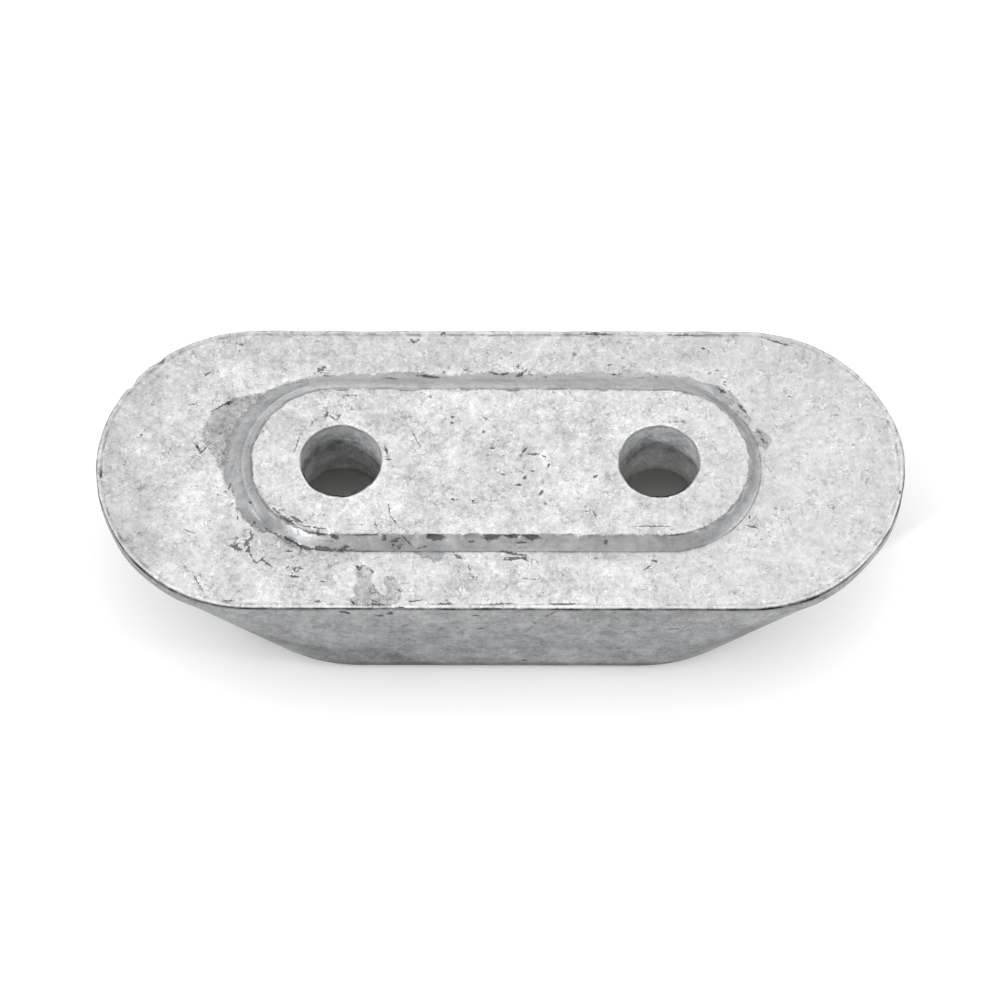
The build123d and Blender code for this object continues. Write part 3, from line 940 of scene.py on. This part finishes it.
def span(tree, value, low, high, out_low=0.0, out_high=1.0, smooth=True):
    """Maps low..high to out_low..out_high and stays inside that range."""
    node = tree.nodes.new("ShaderNodeMapRange")
    node.interpolation_type = "SMOOTHSTEP" if smooth else "LINEAR"
    names = ("Value", "From Min", "From Max", "To Min", "To Max")
    for name, number in zip(names, (value, low, high, out_low, out_high)):
        feed(node.inputs[name], number)
    return node.outputs["Result"]


print("number helpers ready")


# %% Helpers that move, scale and mix positions and colours, and make noise
def vector_math(tree, operation, *values):
    """A Vector Math node with its vectors set."""
    node = tree.nodes.new("ShaderNodeVectorMath")
    node.operation = operation
    for socket, value in zip(node.inputs, values):
        feed(socket, value)
    return node


def scaled(tree, vector, factor):
    """A vector or colour times a number."""
    node = vector_math(tree, "SCALE", vector)
    feed(node.inputs["Scale"], factor)
    return node.outputs[0]


def moved_by(tree, place, offset):
    """A position moved by an offset, for a second independent pattern or a shake."""
    return vector_math(tree, "ADD", place, offset).outputs[0]


def blend(tree, share, colour, other_colour):
    """A colour that turns into the other one as the share goes from 0 to 1."""
    node = tree.nodes.new("ShaderNodeMix")
    node.data_type = "VECTOR"
    feed(node.inputs["Factor"], share)
    feed(node.inputs[4], colour)
    feed(node.inputs[5], other_colour)
    return node.outputs[1]


def noise_value(tree, place, size, detail=4.0, roughness=0.6):
    """Noise from 0 to 1 whose largest lumps are about size mm."""
    node = tree.nodes.new("ShaderNodeTexNoise")
    feed(node.inputs["Vector"], place)
    feed(node.inputs["Scale"], calc(tree, "DIVIDE", 1.0, size))
    feed(node.inputs["Detail"], detail)
    feed(node.inputs["Roughness"], roughness)
    return node.outputs["Fac"]


print("position helpers ready")


# %% A new group with named sockets
def start_group(name, inputs, outputs):
    """Returns the group, its input sockets by name and its output sockets."""
    group = bpy.data.node_groups.new(name, "ShaderNodeTree")
    for socket_name, value in inputs.items():
        kind = "NodeSocketVector" if value is None else "NodeSocketFloat"
        socket = group.interface.new_socket(socket_name, in_out="INPUT", socket_type=kind)
        if value is not None:
            socket.default_value = value
    for socket_name, kind in outputs.items():
        group.interface.new_socket(socket_name, in_out="OUTPUT", socket_type=kind)
    group_start = group.nodes.new("NodeGroupInput")
    group_end = group.nodes.new("NodeGroupOutput")
    print("group", name)
    return group, group_start.outputs, group_end.inputs


def use_group(tree, group, **values):
    """Places a group in a tree and sets its inputs; spaces in names are underscores."""
    node = tree.nodes.new("ShaderNodeGroup")
    node.node_tree = group
    for name, value in values.items():
        feed(node.inputs[name.replace("_", " ")], value)
    return node.outputs


NUMBER = "NodeSocketFloat"
POSITION = "NodeSocketVector"
print("group helpers ready")

# %% [markdown]
# ## Clouds
#
# The frosty skin is never one grey. It is mottled at every scale, from grains to clouds
# a centimetre wide. Two or three noises of different sizes could be added up, but one
# fractal noise that keeps nearly its full strength from octave to octave does the same.

# %% Group: clouds
clouds, source, result = start_group(
    "zinc_clouds",
    {"Place": None, "Size": 20.0, "Detail": 8.0, "Crispness": 0.9},
    {"Tone": NUMBER},
)
cloud_noise = noise_value(
    clouds, source["Place"], source["Size"], source["Detail"], source["Crispness"]
)
feed(result["Tone"], calc(clouds, "SUBTRACT", cloud_noise, 0.5))
print("nodes:", len(clouds.nodes))

# %% [markdown]
# ## Pits and specks
#
# Small gas pits are scattered at random: each cell of a Voronoi pattern may hold one,
# with its own size. Round pits look stamped, so the position that the group gets is
# shaken by fine noise first, which makes their outlines uneven. The same group also
# places the bright specks where bare grains catch the light.

# %% Group: shaken position
shaker, source, result = start_group(
    "shaken_place", {"Place": None, "Amount": 0.3, "Size": 0.5}, {"Place": POSITION}
)
shake = shaker.nodes.new("ShaderNodeTexNoise")
feed(shake.inputs["Vector"], source["Place"])
feed(shake.inputs["Scale"], calc(shaker, "DIVIDE", 1.0, source["Size"]))
feed(shake.inputs["Detail"], 1.0)
shake_step = scaled(shaker, shake.outputs["Color"], source["Amount"])
feed(result["Place"], moved_by(shaker, source["Place"], shake_step))
print("nodes:", len(shaker.nodes))

# %% Group: scattered spots
spots, source, result = start_group(
    "zinc_spots",
    {"Place": None, "Spacing": 1.0, "Largest": 0.2, "Share": 0.5},
    {"Spot": NUMBER},
)
cells = spots.nodes.new("ShaderNodeTexVoronoi")
feed(cells.inputs["Vector"], source["Place"])
feed(cells.inputs["Scale"], calc(spots, "DIVIDE", 1.0, source["Spacing"]))
cell_draw = spots.nodes.new("ShaderNodeSeparateColor")
feed(cell_draw.inputs[0], cells.outputs["Color"])
reach = calc(spots, "MULTIPLY", calc(spots, "POWER", cell_draw.outputs[0], 2.0), source["Largest"])
reach = calc(spots, "ADD", reach, calc(spots, "MULTIPLY", source["Largest"], 0.25))
gap = calc(spots, "MULTIPLY", cells.outputs["Distance"], source["Spacing"])
disc = span(spots, gap, calc(spots, "MULTIPLY", reach, 0.35), reach, 1.0, 0.0)
chosen = calc(spots, "LESS_THAN", cell_draw.outputs[1], source["Share"])
feed(result["Spot"], calc(spots, "MULTIPLY", disc, chosen))
print("nodes:", len(spots.nodes))

# %% [markdown]
# ## Ragged edges
#
# Torn skin ends in a crisp, uneven line. This group takes a distance field and shifts it
# by fine noise before cutting it, so one smooth field gives an edge with bays and
# islands. The mesh need not be fine enough to hold them. A second output marks the edge
# itself, which holds dirt and looks darker.

# %% Group: ragged edge
ragged, source, result = start_group(
    "ragged_edge",
    {"Depth": 0.0, "Place": None, "Raggedness": 0.4, "Softness": 0.08, "Grain Size": 1.5},
    {"Inside": NUMBER, "Rim Line": NUMBER},
)
edge_noise = noise_value(ragged, source["Place"], source["Grain Size"], 3.0, 0.75)
edge_shift = calc(ragged, "MULTIPLY", calc(ragged, "SUBTRACT", edge_noise, 0.5), 4.0)
shifted = calc(ragged, "MULTIPLY_ADD", edge_shift, source["Raggedness"], source["Depth"])
low_end = calc(ragged, "MULTIPLY", source["Softness"], -1.0)
feed(result["Inside"], span(ragged, shifted, low_end, source["Softness"]))
line_width = calc(ragged, "MULTIPLY", source["Softness"], 1.6)
line_gap = calc(ragged, "ABSOLUTE", shifted)
feed(result["Rim Line"], span(ragged, line_gap, 0.0, line_width, 1.0, 0.0))
print("nodes:", len(ragged.nodes))

# %% [markdown]
# ## Hairlines
#
# Fine curved cracks and folds show where the freezing skin wrinkled. A hairline is where
# a soft noise passes through its middle value. Each is a pair, a dark line with a light
# one beside it, like a fold's shadow and its lit edge, and it is kept only inside some
# patches. Real grooves this thin would need a far finer mesh.

# %% Group: hairlines
hairs, source, result = start_group(
    "skin_hairlines",
    {"Place": None, "Size": 4.0, "Width": 0.012, "Cover": 0.5},
    {"Line": NUMBER},
)
bends = noise_value(hairs, source["Place"], source["Size"], 2.0, 0.6)
off_middle = calc(hairs, "SUBTRACT", bends, 0.5)
dark_line = span(hairs, calc(hairs, "ABSOLUTE", off_middle), 0.0, source["Width"], 1.0, 0.0)
off_side = calc(hairs, "MULTIPLY_ADD", source["Width"], -1.5, off_middle)
light_line = span(hairs, calc(hairs, "ABSOLUTE", off_side), 0.0, source["Width"], 0.7, 0.0)
line = calc(hairs, "SUBTRACT", light_line, dark_line)
elsewhere = moved_by(hairs, source["Place"], (31.0, 17.0, 5.0))
keep_noise = noise_value(hairs, elsewhere, calc(hairs, "MULTIPLY", source["Size"], 1.3), 2.0, 0.6)
keep_from = calc(hairs, "SUBTRACT", 1.0, source["Cover"])
kept = span(hairs, keep_noise, keep_from, calc(hairs, "ADD", keep_from, 0.08))
feed(result["Line"], calc(hairs, "MULTIPLY", line, kept))
print("nodes:", len(hairs.nodes))

# %% [markdown]
# ## Torn strokes
#
# A torn mark is a thin dark stroke. The skin stores how far each point is beside the
# stroke's middle line and how wide the stroke is there, and this group makes the line
# wander and changes its width, so it ends up hairy and broken. Drawing it here keeps it
# sharper than the quads that carry the two numbers.

# %% Group: torn stroke
torn, source, result = start_group(
    "torn_stroke",
    {"Side": 1.0, "Room": -1.0, "Place": None, "Wander": 0.1, "Softness": 0.05, "Grain Size": 0.6},
    {"Mark": NUMBER},
)
tremble = noise_value(torn, source["Place"], source["Grain Size"], 2.0, 0.7)
wander = calc(torn, "MULTIPLY", calc(torn, "SUBTRACT", tremble, 0.5), 4.0)
side = calc(torn, "ABSOLUTE", calc(torn, "MULTIPLY_ADD", wander, source["Wander"], source["Side"]))
room = calc(torn, "MULTIPLY_ADD", wander, -0.12, source["Room"])
outside = calc(torn, "SUBTRACT", side, room)
low_end = calc(torn, "MULTIPLY", source["Softness"], -1.0)
feed(result["Mark"], span(torn, outside, low_end, source["Softness"], 1.0, 0.0))
print("nodes:", len(torn.nodes))

# %% [markdown]
# ## Drag streaks
#
# The walls slid out of the mould, and the metal ran along it. Both leave faint streaks
# along the casting, so this noise is stretched along its length. A wave pattern would be
# too regular.

# %% Group: streaks
streaks, source, result = start_group(
    "drag_streaks", {"Place": None, "Length": 12.0, "Width": 0.8}, {"Tone": NUMBER}
)
sizes = streaks.nodes.new("ShaderNodeCombineXYZ")
for socket, side_name in zip(sizes.inputs, ("Length", "Width", "Width")):
    feed(socket, calc(streaks, "DIVIDE", 1.0, source[side_name]))
stretched = vector_math(streaks, "MULTIPLY", source["Place"], sizes.outputs[0]).outputs[0]
streak_noise = noise_value(streaks, stretched, 1.0, 4.0, 0.6)
feed(result["Tone"], calc(streaks, "SUBTRACT", streak_noise, 0.5))
print("nodes:", len(streaks.nodes))

# %% [markdown]
# ## Cast zinc: the masks
#
# The material starts with the position in millimetres and the fields stored on the skin.
# The bare metal's mask, the thin skin's and the marks' get their ragged edges here, once,
# and every later cell uses the same ones, so colour, gloss and relief always agree.

# %% Cast zinc: position and stored fields
cast_zinc = bpy.data.materials.new("cast_zinc")
cast_zinc.use_nodes = True
zinc = cast_zinc.node_tree
place = scaled(zinc, zinc.nodes.new("ShaderNodeTexCoord").outputs["Object"], 1 / MM)
place_axes = zinc.nodes.new("ShaderNodeSeparateXYZ")
feed(place_axes.inputs[0], place)
place_along = place_axes.outputs["X"]
place_level = place_axes.outputs["Z"]
stored = {}
for field_name in skin_fields:
    reader = zinc.nodes.new("ShaderNodeAttribute")
    reader.attribute_name = field_name
    stored[field_name] = reader.outputs["Fac"]
print("fields read:", len(stored))

# %% Cast zinc: masks
BLOT_FROM = 0.62                 # the depth from which a wide mark turns dark
bare = use_group(
    zinc, ragged, Depth=stored["bare_depth"], Place=place,
    Raggedness=0.42, Softness=0.14, Grain_Size=1.1,
)
dull = use_group(
    zinc, ragged, Depth=stored["dull_depth"], Place=place,
    Raggedness=0.3, Softness=0.12, Grain_Size=1.4,
)
blot = use_group(
    zinc, ragged, Depth=calc(zinc, "SUBTRACT", stored["mark_depth"], BLOT_FROM), Place=place,
    Raggedness=0.42, Softness=0.12, Grain_Size=0.6,
)
stroke = use_group(
    zinc, torn, Side=stored["stroke_side"], Room=stored["stroke_room"], Place=place,
    Wander=0.13, Softness=0.045, Grain_Size=0.34,
)
mark = calc(zinc, "MAXIMUM", blot["Inside"], stroke["Mark"])
print("masks ready")

# %% [markdown]
# ## Cast zinc: tone of the frosty skin
#
# The skin's ground tone comes from clouds. Pits and thin skin take light away, specks add
# some, and hairlines do both. All of it is one number that multiplies a pale grey, since
# the skin changes in lightness and hardly in hue.

# %% Cast zinc: skin tone
uneven = use_group(zinc, shaker, Place=place, Amount=0.35, Size=0.45)["Place"]
uneven_elsewhere = moved_by(zinc, uneven, (9.0, 4.0, 2.0))
cloud_tone = use_group(zinc, clouds, Place=place, Size=9.0, Detail=7.0, Crispness=1.0)["Tone"]
cloudy = span(zinc, place_along, 8.0, 32.0, 2.6, 1.6)
fine_pits = use_group(zinc, spots, Place=uneven, Spacing=0.7, Largest=0.26, Share=0.4)["Spot"]
large_pits = use_group(zinc, spots, Place=uneven, Spacing=3.2, Largest=0.36, Share=0.6)["Spot"]
specks = use_group(
    zinc, spots, Place=uneven_elsewhere, Spacing=0.9, Largest=0.3, Share=0.4
)["Spot"]
hair_cover = calc(zinc, "MULTIPLY_ADD", stored["mark_depth"], 0.3, 0.56)
hair = use_group(zinc, hairs, Place=uneven, Size=1.7, Width=0.03, Cover=hair_cover)["Line"]
hair_strength = calc(zinc, "MULTIPLY_ADD", stored["mark_depth"], 0.3, 0.19)
grain = noise_value(zinc, uneven, 0.75, 1.0, 0.8)
skin_tone = add_layers(zinc, 1.0, (
    (cloud_tone, cloudy),
    (fine_pits, -0.22),
    (large_pits, -0.45),
    (specks, 0.16),
    (hair, hair_strength),
    (calc(zinc, "SUBTRACT", grain, 0.5), 0.4),
    (dull["Inside"], -0.28),
    (dull["Rim Line"], -0.14),
))
print("skin tone ready")

# %% [markdown]
# ## Cast zinc: tone of the bare metal
#
# Bare metal is darker, bluish and calmer, with streaks along the casting. Deep in the
# holes the metal turns slightly brown, and its tone is painted lighter as fill light for the
# shaded bore, rising towards the ledge where the bolt's head sits, and again below it. Near
# the mouth a painted highlight lifts the bore's tone a little. It is a change of tone by
# height, which costs no second material.

# %% Cast zinc: bare tone
streak_tone = use_group(zinc, streaks, Place=place, Length=10.0, Width=0.9)["Tone"]
bare_clouds = use_group(
    zinc, clouds, Place=moved_by(zinc, place, (50.0, 20.0, 9.0)),
    Size=7.0, Detail=6.0, Crispness=0.95,
)["Tone"]
wall_clouds = span(zinc, place_level, face_level - 0.3, face_level + 0.1, 2.8, 1.5)
wall_clouds = calc(zinc, "MULTIPLY_ADD", stored["cored"], 2.0, wall_clouds)
ledge = recess_floor / MM
# Painted fill light: the bores are lighter below 15 mm and the recesses below the ledge, where the
# holes lie in shade.
bore_painted_fill = span(zinc, place_level, 15.0, 11.5, 0.0, 0.65)
recess_painted_fill = span(zinc, place_level, ledge - 0.1, ledge - 0.6, 0.0, 1.2)
deep = calc(zinc, "MULTIPLY", stored["cored"], calc(zinc, "ADD", bore_painted_fill, recess_painted_fill))
# Painted highlight: the upper band of each bore is a little lighter.
mouth_painted_highlight = span(zinc, place_level, 15.3, 16.5, 0.0, 0.3)
bare_tone = add_layers(zinc, 1.0, (
    (streak_tone, 0.35),
    (bare_clouds, wall_clouds),
    (dull["Inside"], -0.2),
    (hair, calc(zinc, "MULTIPLY", hair_strength, 0.6)),
    (stored["cored"], mouth_painted_highlight),
    (deep, 1.0),
))
print("bare tone ready")

# %% Cast zinc: colour
SKIN_GREY = (0.553, 0.553, 0.554)
BARE_GREY = (0.345, 0.350, 0.357)
DEEP_GREY = (0.355, 0.350, 0.330)
# One tone from the stains, the painted shade along the foot and the painted edge lines.
stain_and_painted_light_tone = calc(zinc, "SUBTRACT", stored["edge_tone"], stored["stain"])
stain_and_painted_light_tone = calc(zinc, "ADD", stain_and_painted_light_tone, 1.0)
mark_tone = calc(zinc, "MULTIPLY_ADD", mark, -0.68, 1.0)
line_tone = calc(zinc, "MULTIPLY_ADD", bare["Rim Line"], -0.14, 1.0)
shared_tone = calc(zinc, "MULTIPLY", calc(zinc, "MULTIPLY", stain_and_painted_light_tone, mark_tone), line_tone)
skin_colour = scaled(zinc, SKIN_GREY, skin_tone)
# The painted fill deep in the holes also turns the bare grey slightly brown.
bare_colour = scaled(zinc, blend(zinc, deep, BARE_GREY, DEEP_GREY), bare_tone)
zinc_colour = blend(zinc, bare["Inside"], skin_colour, bare_colour)
zinc_shader = zinc.nodes["Principled BSDF"]
feed(zinc_shader.inputs["Base Color"], scaled(zinc, zinc_colour, shared_tone))
print("colour ready")

# %% [markdown]
# ## Cast zinc: gloss and relief
#
# The skin scatters light widely. Bare metal is tighter, so it mirrors the dim front of
# the room and catches the lamp on the pad's left corner. Grain and pits finer than the
# mesh dent the surface as a bump; the heights are in millimetres.

# %% Cast zinc: gloss
gloss = span(zinc, bare["Inside"], 0.0, 1.0, 0.62, 0.42, smooth=False)
gloss = add_layers(zinc, gloss, (
    (stored["cored"], 0.2), (cloud_tone, 0.3), (hair, -0.1), (mark, 0.15)
))
feed(zinc_shader.inputs["Roughness"], gloss)
metal_share = span(zinc, bare["Inside"], 0.0, 1.0, 0.75, 1.0, smooth=False)
metal_share = calc(zinc, "MULTIPLY_ADD", stored["cored"], -0.8, metal_share)
feed(zinc_shader.inputs["Metallic"], metal_share)
print("gloss ready")

# %% Cast zinc: relief
relief = calc(zinc, "MULTIPLY", grain, 0.05)
relief = calc(zinc, "MULTIPLY_ADD", large_pits, -0.06, relief)
smoother = span(zinc, bare["Inside"], 0.0, 1.0, 1.0, 0.3, smooth=False)
relief = calc(zinc, "MULTIPLY", relief, smoother)
relief = calc(zinc, "MULTIPLY_ADD", bare["Inside"], -0.04, relief)
bump = zinc.nodes.new("ShaderNodeBump")
feed(bump.inputs["Height"], relief)
feed(bump.inputs["Distance"], MM)
feed(bump.inputs["Strength"], 1.0)
feed(zinc_shader.inputs["Normal"], bump.outputs[0])
casting_mesh.materials.append(cast_zinc)
print("nodes in the metal:", len(zinc.nodes))

# %% [markdown]
# # The studio
#
# The casting stands on matt white paper that runs on far behind it. The paper is lit a
# little beyond white, as is usual for pictures of products, so it turns pure white
# everywhere but in the soft contact shadow. One large flat sheet is enough: a curved
# backdrop would only matter if its far edge could be seen.

# %% White paper floor
floor_half = 2.0
floor_corners = [(-floor_half, -floor_half, 0), (floor_half, -floor_half, 0)]
floor_corners += [(floor_half, floor_half, 0), (-floor_half, floor_half, 0)]
floor_mesh = bpy.data.meshes.new("studio_floor")
floor_mesh.from_pydata(floor_corners, [], [(0, 1, 2, 3)])
studio_floor = bpy.data.objects.new("studio_floor", floor_mesh)
bpy.context.scene.collection.objects.link(studio_floor)
print("floor:", 2 * floor_half, "m wide")

# %% White paper: matt all over
white_paper = bpy.data.materials.new("white_paper")
white_paper.use_nodes = True
paper_shader = white_paper.node_tree.nodes["Principled BSDF"]
paper_shader.inputs["Base Color"].default_value = (0.9, 0.9, 0.9, 1.0)
paper_shader.inputs["Roughness"].default_value = 0.9
floor_mesh.materials.append(white_paper)
print("paper ready")

# %% [markdown]
# ## Room light
#
# The room is a big soft light tent: bright overhead and at the back, and dimmer towards
# the front, where the camera stands. The walls of the casting mirror that front part,
# which makes them darker than the faces. Softbox lamps could do this too, but the
# world's own light has no edges and leaves less noise.

# %% The tent
FRONT_LIGHT = 0.85
BACK_LIGHT = 1.5
tent = bpy.data.worlds.new("soft_studio")
bpy.context.scene.world = tent
tent.use_nodes = True
sky = tent.node_tree
sky_direction = sky.nodes.new("ShaderNodeSeparateXYZ")
feed(sky_direction.inputs[0], sky.nodes.new("ShaderNodeTexCoord").outputs["Generated"])
tent_light = span(sky, sky_direction.outputs["Y"], -0.75, 0.4, FRONT_LIGHT, BACK_LIGHT)
horizon = span(sky, sky_direction.outputs["Z"], 0.0, 0.5, 0.85, 1.0)
sky.nodes["Background"].inputs["Color"].default_value = (1.0, 1.0, 1.0, 1.0)
feed(sky.nodes["Background"].inputs["Strength"], calc(sky, "MULTIPLY", tent_light, horizon))
print("tent ready")

# %% [markdown]
# ## Two lamps
#
# A small lamp low at the front left lights the right-hand wall of each bolt hole and
# puts the shiny streak on the pad's corner. A weaker one stands at the right.

# %% The lamps
LAMP_DISTANCE = 0.8


def disk_lamp(name, right, back, elevation, strength, width):
    """A round lamp aimed at the casting, seen from it towards the right and the back."""
    flat = Vector((right, back, 0)).normalized() * cos(radians(elevation))
    direction = Vector((flat.x, flat.y, sin(radians(elevation))))
    lamp_data = bpy.data.lights.new(name, "AREA")
    lamp_data.shape = "DISK"
    lamp_data.size = width
    lamp_data.energy = strength * pi * LAMP_DISTANCE**2
    lamp = bpy.data.objects.new(name, lamp_data)
    lamp.location = Vector((0, 0, face_height)) + direction * LAMP_DISTANCE
    lamp.rotation_euler = direction.to_track_quat("Z", "Y").to_euler()
    bpy.context.scene.collection.objects.link(lamp)


disk_lamp("front_left_lamp", -0.616, -0.788, 27, strength=1.25, width=0.045)
disk_lamp("right_lamp", 0.966, -0.259, 37, strength=0.3, width=0.12)
print("lamps ready")

# %% [markdown]
# ## Camera
#
# A long lens looks down at 61 degrees, from so far away that parallel edges stay nearly
# parallel. PIXEL is how much of the casting one pixel of the square picture covers, and
# face_pixel is the pixel where the large face's middle is put. Moving the camera sideways
# does that without a lens shift.

# %% Camera sizes
CAMERA_TILT = radians(61.49)
CAMERA_ROLL = radians(0.12)
FRAME_PIXELS = 1000
PIXEL = 0.12593 * MM
CAMERA_DISTANCE = 6000 * PIXEL
face_pixel = Vector((500.05, 468.0))
print("camera", round(CAMERA_DISTANCE, 2), "m away")

# %% The camera's axes
towards_camera = Vector((0, -cos(CAMERA_TILT), sin(CAMERA_TILT)))
level_right = Vector((1, 0, 0))
level_up = towards_camera.cross(level_right)
frame_right = level_right * cos(CAMERA_ROLL) + level_up * sin(CAMERA_ROLL)
frame_up = level_up * cos(CAMERA_ROLL) - level_right * sin(CAMERA_ROLL)
print("looks along", [round(v, 3) for v in -towards_camera])

# %% The camera's place and lens
shift_right = (face_pixel.x - FRAME_PIXELS / 2) * PIXEL
shift_up = (FRAME_PIXELS / 2 - face_pixel.y) * PIXEL
camera_place = (
    Vector((0, 0, face_height))
    + towards_camera * CAMERA_DISTANCE
    - frame_right * shift_right
    - frame_up * shift_up
)
camera_data = bpy.data.cameras.new("studio_camera")
camera_data.sensor_width = 36
camera_data.lens = camera_data.sensor_width * CAMERA_DISTANCE / (FRAME_PIXELS * PIXEL)
studio_camera = bpy.data.objects.new("studio_camera", camera_data)
placing = Matrix((frame_right, frame_up, towards_camera)).transposed().to_4x4()
placing.translation = camera_place
studio_camera.matrix_world = placing
bpy.context.scene.collection.objects.link(studio_camera)
bpy.context.scene.camera = studio_camera
bpy.context.scene.view_settings.view_transform = "Standard"
print("lens", round(camera_data.lens, 1), "mm")
